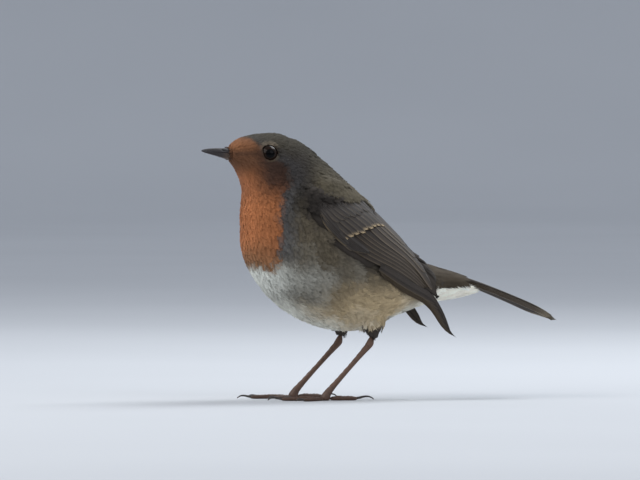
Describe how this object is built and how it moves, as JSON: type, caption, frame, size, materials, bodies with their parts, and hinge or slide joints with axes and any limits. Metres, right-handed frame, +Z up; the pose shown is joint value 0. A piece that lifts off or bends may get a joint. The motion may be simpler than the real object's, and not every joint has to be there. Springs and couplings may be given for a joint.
{
  "type": "robin",
  "caption": "Life-size still model of a standing robin with an orange face and breast, folded wings and a straight tail.",
  "frame": {"origin": "on the floor under the middle of the bird's box", "axes": "the bill points along -Y, the bird's left side is +X and +Z is up"},
  "size_m": [0.047, 0.1298, 0.0919],
  "materials": {
    "orange_feathers": "soft matt feathers, rusty orange",
    "brown_feathers": "soft matt feathers, olive brown",
    "pale_feathers": "soft matt feathers, greyish white",
    "wing_feathers": "close matt feathers, warm brown with buff tips",
    "flight_feathers": "stiff feathers with a slight sheen, dark brown with paler edges",
    "bill": "smooth dark horn",
    "eyes": "wet black",
    "legs": "fine scaly skin, brown",
    "claws": "smooth dark horn"
  },
  "bodies": {
    "root": {"head": "orange_feathers", "neck": "orange_feathers", "trunk": "pale_feathers", "rump": "brown_feathers", "undertail_coverts": "pale_feathers", "tail": "flight_feathers", "bill_upper": "bill", "bill_lower": "bill", "eye_l": "eyes", "scapulars_l": "brown_feathers", "wing_coverts_l": "wing_feathers", "primary_coverts_l": "wing_feathers", "tertials_l": "flight_feathers", "secondaries_l": "flight_feathers", "primaries_l": "flight_feathers", "thigh_l": "brown_feathers", "tarsus_l": "legs", "toe_1_l": "legs", "claw_1_l": "claws", "toe_2_l": "legs", "claw_2_l": "claws", "toe_3_l": "legs", "claw_3_l": "claws", "toe_4_l": "legs", "claw_4_l": "claws", "eye_r": "eyes", "scapulars_r": "brown_feathers", "wing_coverts_r": "wing_feathers", "primary_coverts_r": "wing_feathers", "tertials_r": "flight_feathers", "secondaries_r": "flight_feathers", "primaries_r": "flight_feathers", "thigh_r": "brown_feathers", "tarsus_r": "legs", "toe_1_r": "legs", "claw_1_r": "claws", "toe_2_r": "legs", "claw_2_r": "claws", "toe_3_r": "legs", "claw_3_r": "claws", "toe_4_r": "legs", "claw_4_r": "claws"}
  },
  "joints": []
}
